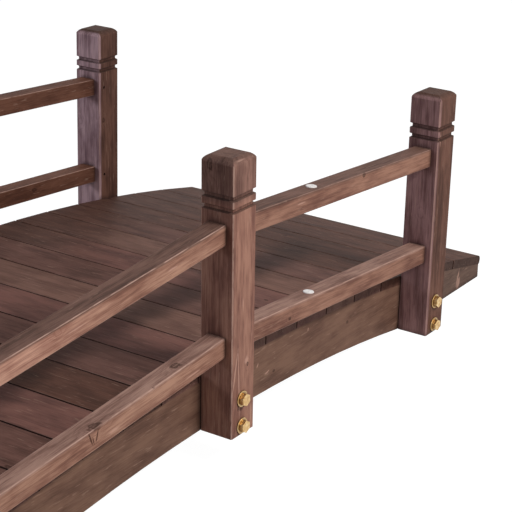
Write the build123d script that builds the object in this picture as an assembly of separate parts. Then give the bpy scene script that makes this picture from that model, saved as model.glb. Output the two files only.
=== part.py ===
"""Moon bridge: a small arched garden bridge of stained timber.

Frame, in millimetres: X runs along the bridge, Y across it, Z up. The origin
is on the ground under the middle of the deck. "near" is the -Y railing, "far"
the +Y one; "start" is the -X half and "end" the +X half.
"""
import math
import os

from build123d import *

# --- driving dimensions ------------------------------------------------------
WIDTH = 570.0            # over the outer faces of the two stringers

STRINGER_HALF = 735.0    # middle of the bridge to the stringer's cut end
STRINGER_THICK = 38.0
STRINGER_END = 21.5      # height of the cut end
ARCH_RISE = 39.0         # clear height under the crown

DECK_TOP = 120.0         # top of the deck at the crown
BOARD_THICK = 14.0
BOARD_PITCH = 74.8
BOARD_GAP = 2.2
END_BOARD_WIDTH = 90.0   # the +X end board's seat; the -X one takes what is left
NOSE_OVERHANG = 3.0      # end board past the stringer
BOARD_ROUND = 1.2
NOSE_ROUND = 7.0

POST = 48.0              # square section
POST_TO_END = 235.0      # end post's axis to the stringer's cut end
ARCH_TO_POST = 25.0      # the arch comes down to the ground this far short of it
POST_HEIGHT = 364.0
POST_LEAN = 1.3          # degrees that an end post leans away from the middle
POST_ARRIS = 1.4         # flat taken off each upright corner
CAP_BEVEL = 7.6
CAP_BULGE = 1.2          # the bevel's middle beyond a flat one
GROOVE_DEPTH = 3.2
GROOVES = ((44.5, 51.8), (59.8, 66.9))   # below the post's top

RAIL = 27.0              # square section
RAIL_ROUND = 2.0
TENON = 18.0             # how far a rail is let into a post
RAIL_TOPS = {"upper": 79.0, "lower": 226.0}   # below the posts' tops

SCREW_HOLE = 4.4
SCREW_DEPTH = 4.0
SCREW_FROM_FACE = 12.0   # from the face that the rail enters

POST_SPACING = STRINGER_HALF - POST_TO_END
ARCH_HALF_SPAN = POST_SPACING - ARCH_TO_POST
SEAT_TOP = DECK_TOP - BOARD_THICK
SEAT_FALL = SEAT_TOP - STRINGER_END
SEAT_RADIUS = (STRINGER_HALF ** 2 + SEAT_FALL ** 2) / (2 * SEAT_FALL)
BOARD_COUNT = math.floor(2 * (STRINGER_HALF - END_BOARD_WIDTH) / BOARD_PITCH)


# --- shared curves -----------------------------------------------------------
def seat_z(x):
    """Height of the stringer's top edge at x."""
    return SEAT_TOP - SEAT_RADIUS + math.sqrt(SEAT_RADIUS ** 2 - x ** 2)


def foot_z(x):
    """Height of a post's foot: the middle posts end at the arched underside."""
    return ARCH_RISE if x == 0 else 0.0


seams = [STRINGER_HALF - END_BOARD_WIDTH - BOARD_PITCH * n
         for n in range(BOARD_COUNT, -1, -1)]
stations = [-STRINGER_HALF] + seams + [STRINGER_HALF]


# --- stringers ---------------------------------------------------------------
def stringer():
    """Arched beam, its top edge cut to a flat seat under every board."""
    top = [(x, seat_z(x)) for x in reversed(stations)]
    with BuildSketch(Plane.XZ) as outline:
        with BuildLine():
            ThreePointArc((-ARCH_HALF_SPAN, 0), (0, ARCH_RISE), (ARCH_HALF_SPAN, 0))
            Polyline((ARCH_HALF_SPAN, 0), (STRINGER_HALF, 0), *top,
                     (-STRINGER_HALF, 0), (-ARCH_HALF_SPAN, 0))
        make_face()
    return extrude(outline.sketch, STRINGER_THICK / 2, both=True)


# --- deck --------------------------------------------------------------------
def board(x0, x1, nose=0):
    """Plank on the seat between two seams. nose is -1 or +1 for an end board."""
    z0, z1 = seat_z(x0), seat_z(x1)
    length = math.hypot(x1 - x0, z1 - z0)
    left = -length / 2 + (-NOSE_OVERHANG if nose < 0 else BOARD_GAP / 2)
    right = length / 2 + (NOSE_OVERHANG if nose > 0 else -BOARD_GAP / 2)
    plank = Pos((left + right) / 2, 0, BOARD_THICK / 2) * Box(
        right - left, WIDTH, BOARD_THICK)
    top = plank.edges().filter_by(Axis.Y).group_by(Axis.Z)[-1].sort_by(Axis.X)
    low = plank.edges().filter_by(Axis.Y).group_by(Axis.Z)[0].sort_by(Axis.X)
    if nose:
        outer = -1 if nose > 0 else 0
        plank = fillet(top[outer], NOSE_ROUND)
        low = plank.edges().filter_by(Axis.Y).group_by(Axis.Z)[0].sort_by(Axis.X)
        plank = fillet(low[outer], NOSE_ROUND / 2)
        top = plank.edges().filter_by(Axis.Y).group_by(Axis.Z)[-1].sort_by(Axis.X)
        plank = fillet(top[0 if nose > 0 else -1], BOARD_ROUND)
    else:
        plank = fillet(top, BOARD_ROUND)
    tilt = math.degrees(math.atan2(z1 - z0, x1 - x0))
    return Pos((x0 + x1) / 2, 0, (z0 + z1) / 2) * Rot(0, -tilt, 0) * plank


# --- railings ----------------------------------------------------------------
def rail(level, half):
    """Sloping rail of one bay, let into both posts. half is -1 or +1."""
    drop = POST_HEIGHT - RAIL_TOPS[level]
    fall = ARCH_RISE / POST_SPACING
    ends = []
    for x in (POST / 2 - TENON, POST_SPACING - POST / 2 + TENON):
        ends.append((half * x, ARCH_RISE + drop - fall * x))
    (xa, za), (xb, zb) = ends
    with BuildSketch(Plane.XZ) as side:
        with BuildLine():
            Polyline((xa, za), (xb, zb), (xb, zb - RAIL), (xa, za - RAIL), close=True)
        make_face()
    bar = extrude(side.sketch, RAIL / 2, both=True)
    long_edges = [e for e in bar.edges() if e.length > POST_SPACING / 2]
    return fillet(long_edges, RAIL_ROUND)


def post_side(plane):
    """Side view of an upright post with its foot just below the ground."""
    half = POST / 2
    slant = GROOVE_DEPTH * 0.55
    up = [(half, -CAP_BEVEL)]
    for high, low in reversed(GROOVES):
        up += [(half, POST_HEIGHT - low),
               (half - GROOVE_DEPTH, POST_HEIGHT - low + slant),
               (half - GROOVE_DEPTH, POST_HEIGHT - high - slant),
               (half, POST_HEIGHT - high)]
    shoulder = (half, POST_HEIGHT - CAP_BEVEL)
    crown = (half - CAP_BEVEL, POST_HEIGHT)
    out = CAP_BULGE / math.sqrt(2)
    middle = ((shoulder[0] + crown[0]) / 2 + out, (shoulder[1] + crown[1]) / 2 + out)

    def other(point):
        return (-point[0], point[1])

    with BuildSketch(plane) as side:
        with BuildLine():
            Polyline(*up, shoulder)
            ThreePointArc(shoulder, middle, crown)
            Line(crown, other(crown))
            ThreePointArc(other(crown), other(middle), other(shoulder))
            Polyline(other(shoulder), *[other(point) for point in reversed(up)], up[0])
        make_face()
    return extrude(side.sketch, POST, both=True)


def post(x, inward):
    """Square post with a bevelled cap and two grooves, its foot cut level.
    inward is the side of the walkway, -1 or +1 along Y."""
    outer = (x > 0) - (x < 0)
    body = post_side(Plane.XZ) & post_side(Plane.YZ)
    section = chamfer(Rectangle(POST, POST).vertices(), POST_ARRIS)
    body &= Pos(0, 0, POST_HEIGHT / 2) * extrude(section, POST_HEIGHT, both=True)
    body = Rot(0, outer * POST_LEAN, 0) * body
    body -= Pos(0, 0, -POST) * Box(3 * POST, 3 * POST, 2 * POST)
    body = Pos(x, 0, foot_z(x)) * body
    for level, drop in RAIL_TOPS.items():
        for half in (-1, 1) if outer == 0 else (outer,):
            body -= rail(level, half)
            toward = half if outer == 0 else -outer
            height = POST_HEIGHT - drop - RAIL / 2
            offset = toward * (POST / 2 - SCREW_FROM_FACE)
            offset += outer * height * math.tan(math.radians(POST_LEAN))
            drop_here = ARCH_RISE * (1 - min(abs(x + offset) / POST_SPACING, 1))
            body -= Pos(x + offset, inward * POST / 2, height + drop_here) * Rot(
                90, 0, 0) * Cylinder(SCREW_HOLE / 2, 2 * SCREW_DEPTH)
    return body


# --- placing -----------------------------------------------------------------
parts = {}
SIDES = {"near": -1, "far": 1}
STATIONS = {"start": -POST_SPACING, "middle": 0.0, "end": POST_SPACING}
HALVES = {"start": -1, "end": 1}
post_y = WIDTH / 2 + POST / 2
stringer_y = WIDTH / 2 - STRINGER_THICK / 2

for side, sign in SIDES.items():
    parts[f"stringer_{side}"] = Pos(0, sign * stringer_y, 0) * stringer()
    for place, x in STATIONS.items():
        parts[f"post_{side}_{place}"] = Pos(0, sign * post_y, 0) * post(x, -sign)
    for level in RAIL_TOPS:
        for bay, half in HALVES.items():
            parts[f"rail_{side}_{level}_{bay}"] = Pos(0, sign * post_y, 0) * rail(level, half)

parts["end_board_start"] = board(stations[0], stations[1], nose=-1)
for n in range(BOARD_COUNT):
    parts[f"deck_board_{n + 1:02d}"] = board(seams[n], seams[n + 1])
parts["end_board_end"] = board(stations[-2], stations[-1], nose=1)

os.makedirs("parts", exist_ok=True)
for name, shape in parts.items():
    shape.label = name
    export_step(shape, f"parts/{name}.step")
    print(name, len(shape.solids()), round(shape.volume / 1000, 1), "cm3")
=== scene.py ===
import math
import random

import bmesh
import bpy
from mathutils import Matrix, Vector


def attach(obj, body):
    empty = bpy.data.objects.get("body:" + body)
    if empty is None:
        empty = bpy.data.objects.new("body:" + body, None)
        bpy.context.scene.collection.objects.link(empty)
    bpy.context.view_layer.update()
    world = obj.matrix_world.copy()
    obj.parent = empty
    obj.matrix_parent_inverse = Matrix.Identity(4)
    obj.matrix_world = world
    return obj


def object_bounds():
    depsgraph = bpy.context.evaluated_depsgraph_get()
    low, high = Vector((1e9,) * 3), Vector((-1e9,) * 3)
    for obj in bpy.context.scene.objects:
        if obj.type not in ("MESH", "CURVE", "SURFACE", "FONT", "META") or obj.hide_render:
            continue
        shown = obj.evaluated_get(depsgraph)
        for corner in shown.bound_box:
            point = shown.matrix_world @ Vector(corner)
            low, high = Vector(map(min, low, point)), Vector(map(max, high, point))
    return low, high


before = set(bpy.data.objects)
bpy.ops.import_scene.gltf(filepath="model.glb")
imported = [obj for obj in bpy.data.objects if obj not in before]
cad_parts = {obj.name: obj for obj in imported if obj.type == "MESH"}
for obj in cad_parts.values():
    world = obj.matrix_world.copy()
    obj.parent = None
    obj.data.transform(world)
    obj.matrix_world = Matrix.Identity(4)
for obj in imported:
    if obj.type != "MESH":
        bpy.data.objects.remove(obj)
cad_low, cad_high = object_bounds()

# Camera
# A product shot from beside the start of the bridge, a metre above the ground,
# looking along the deck with a long lens, so that the bridge runs out of the frame.
EYE = Vector((-1.5670, -1.4054, 1.0174))
YAW, PITCH, ROLL = (math.radians(a) for a in (33.974, -21.290, 0.847))
FOCAL_PIXELS, FRAME_PIXELS, SENSOR_MM = 1694.85, 512, 36.0

forward = Vector((math.cos(PITCH) * math.cos(YAW), math.cos(PITCH) * math.sin(YAW), math.sin(PITCH)))
level = forward.cross(Vector((0, 0, 1))).normalized()
upright = level.cross(forward)
right = level * math.cos(ROLL) + upright * math.sin(ROLL)
top = upright * math.cos(ROLL) - level * math.sin(ROLL)
lens = bpy.data.cameras.new("product_lens")
lens.sensor_width = SENSOR_MM
lens.lens = FOCAL_PIXELS * SENSOR_MM / FRAME_PIXELS
lens.clip_start, lens.clip_end = 0.05, 50
camera = bpy.data.objects.new("product_camera", lens)
bpy.context.scene.collection.objects.link(camera)
axes = Matrix((right, top, -forward)).transposed().to_4x4()
camera.matrix_world = Matrix.Translation(EYE) @ axes
bpy.context.scene.camera = camera

# Stringers
# Two arched beams band-sawn out of fir plank. The flat sides are planed, and the
# brown stain soaks in unevenly, so that the growth rings read as soft streaks.
MM = 1000.0                    # object coordinates are metres; patterns are in mm


def linear(code):
    """sRGB hex colour as the linear colour that a socket takes."""
    shares = [int(code[i:i + 2], 16) / 255 for i in (1, 3, 5)]
    return tuple(s / 12.92 if s <= 0.04045 else ((s + 0.055) / 1.055) ** 2.4 for s in shares) + (1.0,)


def add(tree, kind, links=None, stops=(), **settings):
    """Adds a node with its settings and links.

    links maps an input's name or number to a value, a socket, or a node whose
    first output is meant. stops are a colour ramp's: (place, grey or hex colour)."""
    node = tree.nodes.new(kind)
    for key, value in settings.items():
        setattr(node, key, value)
    for key, value in (links or {}).items():
        if isinstance(value, bpy.types.Node):
            value = value.outputs[0]
        if isinstance(value, bpy.types.NodeSocket):
            tree.links.new(value, node.inputs[key])
        else:
            node.inputs[key].default_value = value
    if stops:
        elements = node.color_ramp.elements
        while len(elements) < len(stops):
            elements.new(0.5)
        for element, (place, shade) in zip(elements, stops):
            element.position = place
            element.color = linear(shade) if isinstance(shade, str) else (shade, shade, shade, 1.0)
    return node


LEAN = 1.3                     # degrees that the end posts lean away from the middle
GRAIN_TURNS = {                # turns that lay the grain of a piece along pattern X
    "along": (0, 0, 0),
    "across": (0, 0, math.radians(-90)),
    "start": (0, math.radians(90 + LEAN), 0),
    "middle": (0, math.radians(90), 0),
    "end": (0, math.radians(90 - LEAN), 0),
}
TRUNK_MM = (420, 60)           # along and across, over which the trunk wanders
TRUNK_SWING = 9                # mm
RIM_MM = 7                     # crumbs along the rim of a knot, a scar or a split
MARK_DEPTH = 5                 # mm that a scar or a split reaches in and out of its face
FIGURE = {                     # mm along and across the grain, detail, roughness
    "streak": (170, 7, 3.0, 0.6),       # open and dense fibres, a hand long
    "fibre": (34, 1.3, 4.0, 0.7),       # really 0.05 mm, drawn 1.3 mm wide to show
    "fleck": (24, 2.4, 2.0, 0.5),       # raised splinters and small scuffs
    "blotch": (70, 24, 3.0, 0.55),      # stain that soaked in unevenly
    "nick": (30, 6, 3.0, 0.7),          # knocks along the arrises
}
RUNS_WITH_TRUNK = ("streak", "fibre", "fleck")
PALE_TO_DEEP = (0.0, 0.4, 0.9)  # depths of stain at which the three shades stand
BARE_WOOD, SPLIT_DARK, KNOT_DARK = "#cfa390", "#4a281e", "#3a2219"
END_GRAIN_DARK, SPLINTER_PALE = "#2e1f1a", "#b3907d"
# pale of worn arrises, partly a painted highlight; dark of pooled stain, with painted shade in joints
WORN_AND_HIGHLIGHT_PALE, POOLED_STAIN_AND_SHADE = "#c8a292", "#2a1b17"


def stained_fir(name, turn, seed, shades, knots=(), scars=(), splits=(), bands=(),
                ring_mm=5.0, figure=1.0, arris_pale=0.5, ends=0.5):
    """Fir under a thin brown stain: rings, fibres, blotches, knots, pale edges partly painted as a
    highlight, and painted shade in joints.

    shades are the pale, middle and deep stain colours. Knots are (x, y, z, size)
    in mm on the piece. Scars, where the stain is torn off, and splits, where it
    has run in, are (x, y, z, half length, half width, degrees off the grain) on a
    near or far face. bands are other shades of wood: an axis of the grain, two
    places on it in mm between which the new shade comes in, and its colours.
    figure is how much the grain shows, arris_pale how pale the arrises go, worn and painted as a
    highlight, and ends how far the end grain darkens."""
    draw = random.Random(seed)
    mat = bpy.data.materials.new(name)
    mat.use_nodes = True
    tree = mat.node_tree
    tree.nodes.clear()
    place = add(tree, "ShaderNodeTexCoord")
    # grain space: millimetres, X along the fibres
    grain = add(tree, "ShaderNodeMapping", {
        "Vector": place.outputs["Object"], "Scale": (MM, MM, MM), "Rotation": turn,
        "Location": (draw.uniform(-900, 900), draw.uniform(-30, 30), draw.uniform(-30, 30))})
    # the trunk wanders by a few millimetres over the length of a piece
    slow = add(tree, "ShaderNodeMapping", {
        "Vector": grain, "Scale": (1 / TRUNK_MM[0], 1 / TRUNK_MM[1], 1 / TRUNK_MM[1])})
    drift = add(tree, "ShaderNodeTexNoise", {"Vector": slow, "Scale": 1.0, "Detail": 2.0})
    wander = add(tree, "ShaderNodeVectorMath", {
        0: drift.outputs["Color"], 1: (0.5, 0.5, 0.5)}, operation="SUBTRACT")
    swing = add(tree, "ShaderNodeVectorMath", {
        0: wander, 1: (0, TRUNK_SWING, TRUNK_SWING)}, operation="MULTIPLY")
    trunk = add(tree, "ShaderNodeVectorMath", {0: grain, 1: swing}, operation="ADD")
    # the pith lies beside the piece and a little askew, so the rings run out in long arches
    pith = add(tree, "ShaderNodeMapping", {
        "Vector": trunk,
        "Rotation": (0, draw.uniform(-0.035, 0.035), draw.uniform(-0.035, 0.035)),
        "Location": (0, draw.choice((-1, 1)) * draw.uniform(22, 60),
                     draw.choice((-1, 1)) * draw.uniform(22, 60))})
    flat = add(tree, "ShaderNodeVectorMath", {0: pith, 1: (0, 1, 1)}, operation="MULTIPLY")
    radius = add(tree, "ShaderNodeVectorMath", {0: flat}, operation="LENGTH")
    ring = add(tree, "ShaderNodeMath", {0: radius.outputs["Value"], 1: ring_mm}, operation="DIVIDE")
    noise = {}
    for pattern, (along, across, detail, roughness) in FIGURE.items():
        laid = add(tree, "ShaderNodeMapping", {
            "Vector": trunk if pattern in RUNS_WITH_TRUNK else grain,
            "Scale": (1 / along, 1 / across, 1 / across)})
        noise[pattern] = add(tree, "ShaderNodeTexNoise", {
            "Vector": laid, "Scale": 1.0, "Detail": detail, "Roughness": roughness})
    crumb = add(tree, "ShaderNodeMapping", {"Vector": grain, "Scale": (1 / RIM_MM,) * 3})
    ragged = add(tree, "ShaderNodeTexNoise", {"Vector": crumb, "Scale": 1.0, "Detail": 2.0})
    torn = add(tree, "ShaderNodeVectorMath", {
        0: ragged.outputs["Color"], 1: (0.5, 0.5, 0.5)}, operation="SUBTRACT")

    def distance(x, y, z, half_size, raggedness, tilt=0):
        """Distance from a spot on the piece, which is 1 at a ragged rim of that half size."""
        off = add(tree, "ShaderNodeVectorMath", {
            0: place.outputs["Object"], 1: (x / MM, y / MM, z / MM)}, operation="SUBTRACT")
        laid = add(tree, "ShaderNodeMapping", {
            "Vector": off, "Scale": (MM, MM, MM),
            "Rotation": (turn[0], turn[1] + math.radians(tilt), turn[2])})
        sized = add(tree, "ShaderNodeVectorMath", {
            0: laid, 1: tuple(1 / half for half in half_size)}, operation="MULTIPLY")
        fray = add(tree, "ShaderNodeVectorMath", {
            0: torn, 1: (raggedness,) * 3}, operation="MULTIPLY")
        rough = add(tree, "ShaderNodeVectorMath", {0: sized, 1: fray}, operation="ADD")
        return add(tree, "ShaderNodeVectorMath", {0: rough}, operation="LENGTH").outputs["Value"]

    # knots: branch ends that push the rings aside round a darker, ragged core
    core = 0.0
    for x, y, z, size in knots:
        away = distance(x, y, z, (size / 0.7, size, size), raggedness=1.5)
        push = add(tree, "ShaderNodeMapRange", {
            "Value": away, "From Min": 0.3, "From Max": 3.4, "To Min": 1.9, "To Max": 0.0},
            interpolation_type="SMOOTHSTEP")
        ring = add(tree, "ShaderNodeMath", {0: ring, 1: push}, operation="ADD")
        dark = add(tree, "ShaderNodeValToRGB", {"Fac": away},
                   stops=((0.0, 0.75), (0.35, 0.5), (0.62, 0.92), (1.0, 0.0)))
        core = add(tree, "ShaderNodeMath", {0: core, 1: dark}, operation="MAXIMUM")
    # each ring darkens slowly to its late wood and then breaks off
    part = add(tree, "ShaderNodeMath", {0: ring}, operation="FRACT")
    late = add(tree, "ShaderNodeValToRGB", {"Fac": part},
               stops=((0.0, 0.1), (0.5, 0.22), (0.84, 1.0), (1.0, 0.1)))
    # how deep the stain looks: the rings and the patterns together
    depth = add(tree, "ShaderNodeMath", {0: late, 1: 0.13 * figure}, operation="MULTIPLY")
    for pattern, low, high in (
            ("streak", -0.09 * figure, 0.20 * figure),
            ("fibre", -0.08 - 0.12 * figure, 0.13 + 0.16 * figure),
            ("blotch", -0.19, 0.36)):
        share = add(tree, "ShaderNodeMapRange", {
            "Value": noise[pattern], "From Min": 0.27, "From Max": 0.73, "To Min": low, "To Max": high})
        depth = add(tree, "ShaderNodeMath", {0: depth, 1: share}, operation="ADD")
    colour = add(tree, "ShaderNodeValToRGB", {"Fac": depth}, stops=list(zip(PALE_TO_DEEP, shades)))
    laid = add(tree, "ShaderNodeMapping", {
        "Vector": place.outputs["Object"], "Rotation": turn, "Scale": (MM, MM, MM)})
    apart = add(tree, "ShaderNodeSeparateXYZ", {0: laid})
    for axis, start, full, others in bands:
        inside = add(tree, "ShaderNodeMapRange", {
            "Value": apart.outputs[axis], "From Min": start, "From Max": full})
        other = add(tree, "ShaderNodeValToRGB", {"Fac": depth}, stops=list(zip(PALE_TO_DEEP, others)))
        mixed = add(tree, "ShaderNodeMix", {0: inside, 6: colour, 7: other}, data_type="RGBA")
        colour = mixed.outputs[2]
    # scars and splits: long thin places where a splinter took the stain away, and dark cracks
    layers = []
    for marks, shade, strength in ((scars, BARE_WOOD, 0.6), (splits, SPLIT_DARK, 0.9)):
        for x, y, z, length, width, tilt in marks:
            away = distance(x, y, z, (length, MARK_DEPTH, width), 0.9, tilt)
            layers.append((add(tree, "ShaderNodeMapRange", {
                "Value": away, "From Min": 0.55, "From Max": 1.1,
                "To Min": strength, "To Max": 0.0}), shade))
    if knots:
        layers.append((core, KNOT_DARK))
    # end grain drinks more stain
    lie = add(tree, "ShaderNodeMapping", {
        "Vector": place.outputs["Normal"], "Rotation": turn}, vector_type="NORMAL")
    sides = add(tree, "ShaderNodeVectorMath", {0: lie}, operation="ABSOLUTE")
    facing = add(tree, "ShaderNodeSeparateXYZ", {0: sides})
    end = add(tree, "ShaderNodeMapRange", {
        "Value": facing.outputs["X"], "From Min": 0.4, "From Max": 0.8, "To Min": 0.0, "To Max": ends})
    layers.append((end, END_GRAIN_DARK))
    # small scuffs and raised splinters where the stain has not taken
    layers.append((add(tree, "ShaderNodeMapRange", {
        "Value": noise["fleck"], "From Min": 0.65, "From Max": 0.72,
        "To Min": 0.0, "To Max": 0.34}), SPLINTER_PALE))
    # worn arrises, partly a painted highlight: pale where the surface faces between the
    # sawn sides, in patches, and less on the caps, whose bevels cut across the fibres
    larger = add(tree, "ShaderNodeMath", {
        0: facing.outputs["Y"], 1: facing.outputs["Z"]}, operation="MAXIMUM")
    worn_and_highlight = add(tree, "ShaderNodeMapRange", {
        "Value": larger, "From Min": 0.96, "From Max": 0.84, "To Min": 0.0, "To Max": arris_pale})
    patch = add(tree, "ShaderNodeMapRange", {
        "Value": noise["nick"], "From Min": 0.62, "From Max": 0.45, "To Min": 0.25, "To Max": 1.0})
    whole = add(tree, "ShaderNodeMapRange", {
        "Value": facing.outputs["X"], "From Min": 0.12, "From Max": 0.35, "To Min": 1.0, "To Max": 0.12})
    for less in (patch, whole):
        worn_and_highlight = add(tree, "ShaderNodeMath", {0: worn_and_highlight, 1: less}, operation="MULTIPLY")
    layers.append((worn_and_highlight, WORN_AND_HIGHLIGHT_PALE))
    # painted shade in grooves, joints and board gaps, darkened by ambient occlusion, with stain pooled
    # there too
    occluded_shade = add(tree, "ShaderNodeAmbientOcclusion", {"Distance": 0.011}, samples=8)
    layers.append((add(tree, "ShaderNodeMapRange", {
        "Value": occluded_shade.outputs["AO"], "From Min": 0.3, "From Max": 0.9,
        "To Min": 0.9, "To Max": 0.0}), POOLED_STAIN_AND_SHADE))
    for share, shade in layers:
        mixed = add(tree, "ShaderNodeMix", {0: share, 6: colour, 7: linear(shade)}, data_type="RGBA")
        colour = mixed.outputs[2]
    # the late wood stands a little proud after brushing
    relief = add(tree, "ShaderNodeMath", {0: noise["fibre"], 1: noise["streak"]}, operation="ADD")
    bump = add(tree, "ShaderNodeBump", {"Height": relief, "Strength": 0.4, "Distance": 0.0006})
    sheen = add(tree, "ShaderNodeMapRange", {"Value": noise["fibre"], "To Min": 0.52, "To Max": 0.78})
    finish = add(tree, "ShaderNodeBsdfPrincipled", {
        "Base Color": colour, "Roughness": sheen, "Normal": bump,
        "IOR": 1.5, "Specular IOR Level": 0.12})
    add(tree, "ShaderNodeOutputMaterial", {"Surface": finish})
    return mat


def dress(node, mat):
    """Gives a CAD node its finish."""
    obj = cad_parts[node]
    obj.data.materials.clear()
    obj.data.materials.append(mat)


STRINGER_SHADES = ("#7f5f4e", "#5f4337", "#3a2821")
RAMP_BAND = ("X", 500, 560, ("#70584c", "#513c33", "#33241e"))     # beyond the end posts
STRINGER_SEEDS = {"near": 15, "far": 14}
STRINGER_KNOTS = {
    "near": ((329, -285, 63, 2.4), (142, -285, 58, 2.0), (-340, -285, 62, 5.0), (600, -285, 30, 4.0)),
    "far": ((-210, 285, 70, 5.0), (380, 285, 55, 4.0)),
}
STRINGER_SCARS = {
    "near": ((665, -285, 20, 16, 2.4, 72), (668, -285, 10, 11, 4.5, 72),
             (103, -285, 80, 4, 1.4, 60), (126, -285, 62, 6, 1.5, 15),
             (131, -285, 108, 5, 1.3, 40), (225, -285, 88, 3, 1.2, 70)),
    "far": ((-420, 285, 40, 9, 2.0, 10),),
}
for side, seed in STRINGER_SEEDS.items():
    dress(f"stringer_{side}", stained_fir(
        f"brown_stained_fir_beam_{side}", GRAIN_TURNS["along"], seed, STRINGER_SHADES,
        STRINGER_KNOTS[side], STRINGER_SCARS[side], bands=(RAMP_BAND,),
        ring_mm=9.0, figure=0.4, arris_pale=0.45))

# Posts
# Six square fir posts with a bevelled cap and two grooves cut round them on the
# spindle moulder. Their stain is redder, with worn edges partly painted pale as a
# highlight, and weathered caps, and the +X end posts have a pinkish face toward the middle.
POST_SHADES = ("#a97c69", "#7e564a", "#462d27")
CAP_SHADES = ("#906a5d", "#65473e", "#382520")
END_POST_SHADES = ("#765244", "#53362c", "#33221c")
END_CAP_SHADES = ("#6b4a3e", "#4b3128", "#2e1f19")
SAP_SHADES = ("#cdaaad", "#917175", "#4f3b41")
PLUM_SHADES = ("#a57e7b", "#765553", "#432f2f")
FIRST_POST_SEED = 31
POST_KNOTS = {
    "near_middle": ((9, -333, 131, 2.4), (-24, -298, 392, 6.0)),
    "near_end": ((476, -310, 190, 3.5),),
    "far_end": ((476, 323, 212, 4.0), (491, 285, 217, 4.0)),
    "far_middle": ((5, 333, 240, 4.5),),
    "near_start": ((-500, -333, 90, 5.0),),
    "far_start": ((-490, 333, 150, 4.0),),
}
POST_SCARS = {
    "near_middle": ((-17.5, -333, 128, 34, 1.5, -10.7), (-9, -333, 106, 54, 1.3, 2.9),
                    (7, -333, 137, 6, 4.5, 0), (-8, -329, 399.5, 10, 1.2, -90),
                    (18, -333, 60, 14, 1.2, 0), (-2, -333, 215, 9, 1.0, 0)),
    "near_end": ((489, -333, 300, 10, 1.2, 0), (476, -333, 352, 1.2, 9, 0)),
}
POST_BANDS = {
    "near_middle": (("X", 344, 352, CAP_SHADES),),
    "near_end": (("X", 305, 313, END_CAP_SHADES), ("Z", -481, -478, PLUM_SHADES)),
    "far_end": (("X", 305, 313, END_CAP_SHADES), ("Z", -481, -478, SAP_SHADES)),
}
for number, (where, knots) in enumerate(POST_KNOTS.items()):
    dress(f"post_{where}", stained_fir(
        f"red_brown_stained_fir_post_{where}", GRAIN_TURNS[where.split("_")[1]],
        FIRST_POST_SEED + number, END_POST_SHADES if where.endswith("end") else POST_SHADES,
        knots, POST_SCARS.get(where, ()), bands=POST_BANDS.get(where, ()),
        ring_mm=7.0, arris_pale=0.75 if where.endswith("middle") else 0.4))

# Rails
# Square fir rails let into the posts on a slope, planed and stained like the
# posts, with dark knots here and there. The near ones' tops are painted another
# shade: painted shade on the upper rails, painted light on the lower ones. The far
# ones are darker, partly their stain and partly painted shade.
POST_SPACING = 0.5                           # middle post to end post
ARCH_RISE = 0.039                            # middle post's foot above an end post's
RAIL_FALL = math.atan2(ARCH_RISE, POST_SPACING)
RAIL_TOPS = {"upper": 324, "lower": 177}     # at the middle post, in mm
RAIL_SHADES = ("#b78b74", "#895f4f", "#50362d")
END_RAIL_SHADES = ("#a37864", "#754f42", "#432d25")
# the far rails are darker: partly their stain, partly painted shade on their inner faces
FAR_RAIL_STAIN_AND_SHADE = ("#78503f", "#583629", "#38231c")
# near rails' top faces: painted shade on the upper ones, painted light on the lower ones
TOP_FACE_LIGHT_AND_SHADE = {
    "upper": ("#7f5f53", "#594037", "#352520"),
    "lower": ("#b18c7c", "#846256", "#4c352e"),
}
TOP_SKIN = (4, 1)                            # mm under the top, where its shade comes in
PALE_BAND = ("X", -190, -340, ("#cf9f88", "#a0705f", "#5e4035"))
FIRST_RAIL_SEED = 51
RAIL_KNOTS = {
    "near_lower_start": ((-270, -318, 157, 7.0), (-111, -312, 168, 6.0), (-166, -322, 165, 2.5)),
    "near_upper_start": ((-330, -318, 290, 3.0),),
    "near_upper_end": ((296, -322, 298, 3.6),),
    "near_lower_end": ((120, -322, 150, 3.0),),
    "far_upper_end": ((200, 296, 300, 4.0),),
    "far_lower_end": ((330, 296, 140, 4.0),),
    "far_upper_start": ((-180, 296, 300, 4.0),),
    "far_lower_start": ((-300, 322, 145, 5.0),),
}
RAIL_SCARS = {
    "near_lower_end": ((60, -322, 140, 12, 1.6, 0), (110, -322, 134, 5, 2.5, 0),
                       (250, -322, 128, 14, 1.2, 0)),
    "near_lower_start": ((-240, -322, 140, 10, 2.2, 0), (-90, -322, 152, 16, 1.2, 0)),
    "near_upper_start": ((-300, -322, 286, 18, 1.2, 0), (-130, -322, 300, 10, 1.4, 0)),
    "near_upper_end": ((140, -322, 302, 12, 1.2, 0),),
}
RAIL_SPLITS = {
    "near_lower_start": ((-282, -322, 146.5, 12, 1.5, -73), (-270.4, -322, 145, 8, 1.5, 67),
                         (-277, -322, 142, 6, 1.2, -80), (-276, -319, 157, 8, 1.3, 20)),
}
RAIL_ARRIS_PALE = {"near_upper_end": 0.35, "near_lower_end": 0.7}
for number, (where, knots) in enumerate(RAIL_KNOTS.items()):
    side, height, bay = where.split("_")
    shades = RAIL_SHADES if bay == "start" else END_RAIL_SHADES
    bands = ()
    if where == "near_upper_start":
        bands += (PALE_BAND,)
    if side == "near":
        crown = RAIL_TOPS[height] * math.cos(RAIL_FALL)
        bands += (("Z", crown - TOP_SKIN[0], crown - TOP_SKIN[1], TOP_FACE_LIGHT_AND_SHADE[height]),)
    dress(f"rail_{where}", stained_fir(
        f"red_brown_stained_fir_rail_{where}", (0, -RAIL_FALL if bay == "end" else RAIL_FALL, 0),
        FIRST_RAIL_SEED + number, FAR_RAIL_STAIN_AND_SHADE if side == "far" else shades,
        knots, RAIL_SCARS.get(where, ()), RAIL_SPLITS.get(where, ()), bands,
        ring_mm=6.0, figure=0.75 if bay == "end" else 1.0, arris_pale=RAIL_ARRIS_PALE.get(where, 0.8)))
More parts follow.
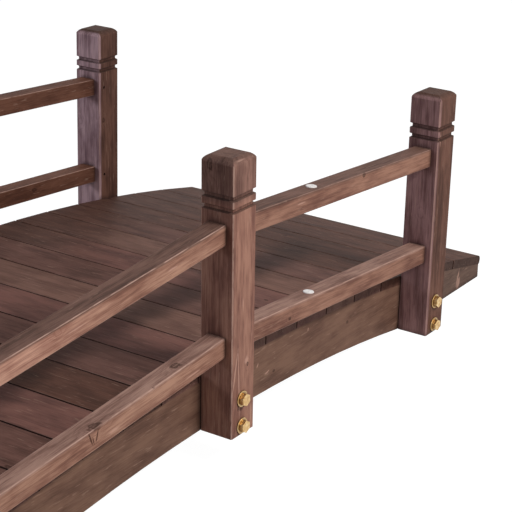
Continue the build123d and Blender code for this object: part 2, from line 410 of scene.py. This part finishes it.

# Deck
# Nineteen thin fir boards laid across the stringers, screwed from above. They are
# the darkest pieces, each a little different.
DECK_SHADES = {
    "dark": ("#614034", "#442a20", "#2b1a13"),
    "plain": ("#755248", "#553931", "#35231d"),
    "pale": ("#836053", "#63453b", "#3f2b25"),
    "red": ("#80584e", "#60413a", "#3d2823"),
}
DECK_TONES = ("plain", "pale", "dark", "red", "plain", "plain", "red", "dark", "plain", "red",
              "pale", "plain", "red", "pale", "plain", "dark", "dark", "dark", "dark")
FAR_EDGE_BAND = ("X", 60, 180, ("#64453a", "#493028", "#2e1e18"))
DARKER_TO_FAR_EDGE = range(12, 18)            # boards that are darker toward the far railing
DARK_ENDED = (0, 17, 18)                     # boards whose end grain shows nearly black
FIRST_BOARD_SEED = 71
DECK_KNOTS = {
    5: ((-325, -238, 104, 4.0),),
    7: ((-222, -191, 112, 4.0),),
    8: ((-150, 60, 116, 5.0),),
    12: ((230, -212, 112, 3.5),),
    14: ((381, 151, 98, 4.0),),
    16: ((540, -40, 74, 4.5),),
}
boards = ["end_board_start"] + [f"deck_board_{n:02d}" for n in range(1, 18)] + ["end_board_end"]
for number, board in enumerate(boards):
    bands = (FAR_EDGE_BAND,) if number in DARKER_TO_FAR_EDGE else ()
    dress(board, stained_fir(
        f"dark_stained_fir_{board}", GRAIN_TURNS["across"], FIRST_BOARD_SEED + number,
        DECK_SHADES[DECK_TONES[number]], DECK_KNOTS.get(number, ()), bands=bands,
        ring_mm=6.5, figure=0.6, arris_pale=0.35, ends=0.75 if number in DARK_ENDED else 0.15))

# Bolts
# Each post is held to its stringer by two 3/8 inch hexagon bolts on round washers,
# zinc plated and passivated yellow, so they look like pale satin brass.
POST_FEET = {                                # along the bridge, and height of the foot
    "start": (-POST_SPACING, 0.0),
    "middle": (0.0, ARCH_RISE),
    "end": (POST_SPACING, 0.0),
}
BOLT_DRIFT = {"start": 0.002, "middle": -0.0025, "end": -0.001}   # off the post's middle line
BOLT_HEIGHTS = (0.012, 0.049)                # above the foot
POST = 0.048                                 # square section
POST_FACE = round(cad_high[1], 4)            # nothing of the frame stands wider
WASHER_R, WASHER_T, WASHER_ROUND = 0.0105, 0.0018, 0.0006
WASHER_SEGMENTS = 32
HEAD_ACROSS_FLATS, HEAD_T, HEAD_ROUND = 0.0146, 0.0062, 0.0006
SPANNER_PLAY = 9                             # degrees that a corner may stand off the upright
BOLT_SEED = 3
CLOUD_MM = 4                                 # cloudiness of the passivation

yellow_zinc = bpy.data.materials.new("yellow_passivated_zinc_plate")
yellow_zinc.use_nodes = True
tree = yellow_zinc.node_tree
tree.nodes.clear()
place = add(tree, "ShaderNodeTexCoord")
close = add(tree, "ShaderNodeMapping", {
    "Vector": place.outputs["Object"], "Scale": (MM / CLOUD_MM,) * 3})
cloud = add(tree, "ShaderNodeTexNoise", {"Vector": close, "Scale": 1.0, "Detail": 3.0})
plate = add(tree, "ShaderNodeValToRGB", {"Fac": cloud},
            stops=((0.3, "#bd9560"), (0.52, "#d6b37d"), (0.75, "#ead4a6")))
# painted shade where the head meets its washer and on the flats beside it
occluded_shade = add(tree, "ShaderNodeAmbientOcclusion", {"Distance": 0.006}, samples=8)
head_shade = add(tree, "ShaderNodeMapRange", {
    "Value": occluded_shade.outputs["AO"], "From Min": 0.35, "From Max": 0.95, "To Min": 0.95, "To Max": 0.0})
shaded_plate = add(tree, "ShaderNodeMix", {0: head_shade, 6: plate, 7: linear("#442a12")}, data_type="RGBA")
dull = add(tree, "ShaderNodeMapRange", {"Value": cloud, "To Min": 0.28, "To Max": 0.5})
finish = add(tree, "ShaderNodeBsdfPrincipled", {
    "Base Color": shaded_plate.outputs[2], "Metallic": 1.0, "Roughness": dull})
add(tree, "ShaderNodeOutputMaterial", {"Surface": finish})


def keep(mesh, name, mat):
    """Turns a finished bmesh into a piece that rides on the bridge."""
    data = bpy.data.meshes.new(name)
    mesh.to_mesh(data)
    mesh.free()
    data.materials.append(mat)
    obj = bpy.data.objects.new(name, data)
    bpy.context.scene.collection.objects.link(obj)
    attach(obj, "root")


def bolt(x, z, side, turn):
    """Washer and hexagon head on the outer face of a post, as one bmesh."""
    mesh = bmesh.new()
    bmesh.ops.create_cone(mesh, cap_ends=True, segments=WASHER_SEGMENTS, radius1=WASHER_R,
                          radius2=WASHER_R, depth=WASHER_T)
    rim = [e for e in mesh.edges if all(v.co.z > 0 for v in e.verts)]
    bmesh.ops.bevel(mesh, geom=rim, offset=WASHER_ROUND, offset_type="OFFSET", segments=2,
                    profile=0.5, affect="EDGES", material=-1)
    bmesh.ops.translate(mesh, verts=mesh.verts[:], vec=(0, 0, WASHER_T / 2))
    corner = HEAD_ACROSS_FLATS / math.sqrt(3)
    head = bmesh.ops.create_cone(mesh, cap_ends=True, segments=6, radius1=corner, radius2=corner,
                                 depth=HEAD_T)["verts"]
    bmesh.ops.translate(mesh, verts=head, vec=(0, 0, WASHER_T + HEAD_T / 2))
    crown = [e for e in mesh.edges
             if all(v in head and v.co.z > WASHER_T + HEAD_T / 2 for v in e.verts)]
    bmesh.ops.bevel(mesh, geom=crown, offset=HEAD_ROUND, offset_type="OFFSET", segments=2,
                    profile=0.5, affect="EDGES", material=-1)
    mesh.transform(Matrix.Translation((x, side * POST_FACE, z))
                   @ Matrix.Rotation(math.radians(-90 * side), 4, "X")
                   @ Matrix.Rotation(turn, 4, "Z"))
    return mesh


SIDES = {"near": -1, "far": 1}
spin = random.Random(BOLT_SEED)
for side, sign in SIDES.items():
    for post, (x, foot) in POST_FEET.items():
        for number, height in enumerate(BOLT_HEIGHTS, 1):
            turn = math.radians(spin.uniform(-SPANNER_PLAY, SPANNER_PLAY))
            keep(bolt(x + BOLT_DRIFT[post], foot + height, sign, turn),
                 f"bolt_{side}_{post}_{number}", yellow_zinc)

# Screw caps
# White moulded plastic caps, 15 mm across, pressed over the screws in the top
# faces of the +X bay's rails. Each is a shallow dome with a dimple.
CAP_X, CAP_R, CAP_T, CAP_ROUND = 0.185, 0.0074, 0.0016, 0.0011
DIMPLE_RIM, DIMPLE_SLOPE, DIMPLE_DEPTH = CAP_R * 0.62, 0.0005, 0.0006
CAP_PRESSED_IN = 0.0001
CAP_SEGMENTS, FLAT_UP = 32, 0.999
RAIL_Y = POST_FACE - POST / 2
SCUFF_MM = 5

white_plastic = bpy.data.materials.new("moulded_white_polyethylene")
white_plastic.use_nodes = True
tree = white_plastic.node_tree
tree.nodes.clear()
place = add(tree, "ShaderNodeTexCoord")
close = add(tree, "ShaderNodeMapping", {
    "Vector": place.outputs["Object"], "Scale": (MM / SCUFF_MM,) * 3})
scuff = add(tree, "ShaderNodeTexNoise", {"Vector": close, "Scale": 1.0, "Detail": 2.0})
# handled plastic is a little yellower and duller in places
moulded = add(tree, "ShaderNodeValToRGB", {"Fac": scuff}, stops=((0.3, "#f5ebe4"), (0.7, "#fffaf5")))
dull = add(tree, "ShaderNodeMapRange", {"Value": scuff, "To Min": 0.2, "To Max": 0.32})
finish = add(tree, "ShaderNodeBsdfPrincipled", {
    "Base Color": moulded, "Roughness": dull, "IOR": 1.5})
add(tree, "ShaderNodeOutputMaterial", {"Surface": finish})

for side, sign in SIDES.items():
    for height, rail_top in RAIL_TOPS.items():
        mesh = bmesh.new()
        bmesh.ops.create_cone(mesh, cap_ends=True, segments=CAP_SEGMENTS, radius1=CAP_R,
                              radius2=CAP_R, depth=CAP_T)
        lid = [f for f in mesh.faces if f.normal.z > FLAT_UP]
        bmesh.ops.bevel(mesh, geom=lid[0].edges[:], offset=CAP_ROUND, offset_type="OFFSET",
                        segments=3, profile=0.5, affect="EDGES", material=-1)
        lid = [f for f in mesh.faces if f.normal.z > FLAT_UP]
        bmesh.ops.inset_individual(mesh, faces=lid, thickness=DIMPLE_RIM, depth=0)
        centre = [f for f in mesh.faces if f.normal.z > FLAT_UP and len(f.verts) == CAP_SEGMENTS]
        bmesh.ops.inset_individual(mesh, faces=centre, thickness=DIMPLE_SLOPE, depth=-DIMPLE_DEPTH)
        z = rail_top / MM - ARCH_RISE / POST_SPACING * CAP_X + CAP_T / 2 - CAP_PRESSED_IN
        mesh.transform(Matrix.Translation((CAP_X, sign * RAIL_Y, z))
                       @ Matrix.Rotation(RAIL_FALL, 4, "Y"))
        keep(mesh, f"screw_cap_{side}_{height}", white_plastic)

# Floor and light
# A white sweep under soft studio lamps: the key stands to the right of the near
# railing, so the outer faces are bright and the -X faces are in shade.
FLOOR_HALF, FLOOR_DROP = 12, 0.0005          # just under the feet
sweep = bmesh.new()
bmesh.ops.create_grid(sweep, x_segments=1, y_segments=1, size=FLOOR_HALF)
bmesh.ops.translate(sweep, verts=sweep.verts[:], vec=(0, 0, -FLOOR_DROP))
data = bpy.data.meshes.new("studio_floor")
sweep.to_mesh(data)
sweep.free()
floor = bpy.data.objects.new("studio_floor", data)
bpy.context.scene.collection.objects.link(floor)

# the paper glows white to the lens and in reflections, and is matte enough to take the shadow
PAPER_GLOW, GLOW_SHARE = 1.2, 0.82
paper = bpy.data.materials.new("white_studio_paper")
paper.use_nodes = True
tree = paper.node_tree
tree.nodes.clear()
ray = add(tree, "ShaderNodeLightPath")
seen = add(tree, "ShaderNodeMath", {
    0: ray.outputs["Is Camera Ray"], 1: ray.outputs["Is Glossy Ray"]}, operation="MAXIMUM")
seen = add(tree, "ShaderNodeMath", {
    0: seen, 1: ray.outputs["Is Transmission Ray"]}, operation="MAXIMUM")
share = add(tree, "ShaderNodeMath", {0: seen, 1: GLOW_SHARE}, operation="MULTIPLY")
matte = add(tree, "ShaderNodeBsdfDiffuse", {"Color": (0.8, 0.8, 0.8, 1)})
glow = add(tree, "ShaderNodeEmission", {"Color": (1, 1, 1, 1), "Strength": PAPER_GLOW})
both = add(tree, "ShaderNodeMixShader", {0: share, 1: matte, 2: glow})
add(tree, "ShaderNodeOutputMaterial", {"Surface": both})
data.materials.append(paper)

# the room is plain white where it is seen, and casts a weak cool light on the bridge
ROOM_LIGHT, ROOM_TINT = 0.11, (0.92, 0.98, 1.12, 1)
world = bpy.data.worlds.new("studio")
bpy.context.scene.world = world
world.use_nodes = True
tree = world.node_tree
tree.nodes.clear()
ray = add(tree, "ShaderNodeLightPath")
seen = add(tree, "ShaderNodeMath", {
    0: ray.outputs["Is Camera Ray"], 1: ray.outputs["Is Glossy Ray"]}, operation="MAXIMUM")
seen = add(tree, "ShaderNodeMath", {
    0: seen, 1: ray.outputs["Is Transmission Ray"]}, operation="MAXIMUM")
strength = add(tree, "ShaderNodeMapRange", {"Value": seen, "To Min": ROOM_LIGHT, "To Max": 1.0})
tint = add(tree, "ShaderNodeMix", {0: seen, 6: ROOM_TINT, 7: (1, 1, 1, 1)}, data_type="RGBA")
sky = add(tree, "ShaderNodeBackground", {"Color": tint.outputs[2], "Strength": strength})
add(tree, "ShaderNodeOutputWorld", {"Surface": sky})


def softbox(name, spot, aim, width, height, watts, tint=(1, 1, 1)):
    """Area lamp at a spot, turned to its aim."""
    lamp = bpy.data.lights.new(name, "AREA")
    lamp.color = tint
    lamp.shape, lamp.size, lamp.size_y, lamp.energy = "RECTANGLE", width, height, watts
    obj = bpy.data.objects.new(name, lamp)
    bpy.context.scene.collection.objects.link(obj)
    obj.location = spot
    obj.rotation_euler = (Vector(aim) - Vector(spot)).to_track_quat("-Z", "Y").to_euler()


softbox("key", spot=(0.3, -1.9, 1.75), aim=(0.1, -0.25, 0.15), width=0.8, height=0.18, watts=38)
softbox("fill", spot=(-1.6, 2.4, 1.3), aim=(0.2, 0.2, 0.1), width=0.7, height=0.7, watts=24,
        tint=(0.9, 0.96, 1.08))

bpy.context.scene.view_settings.view_transform = "Standard"
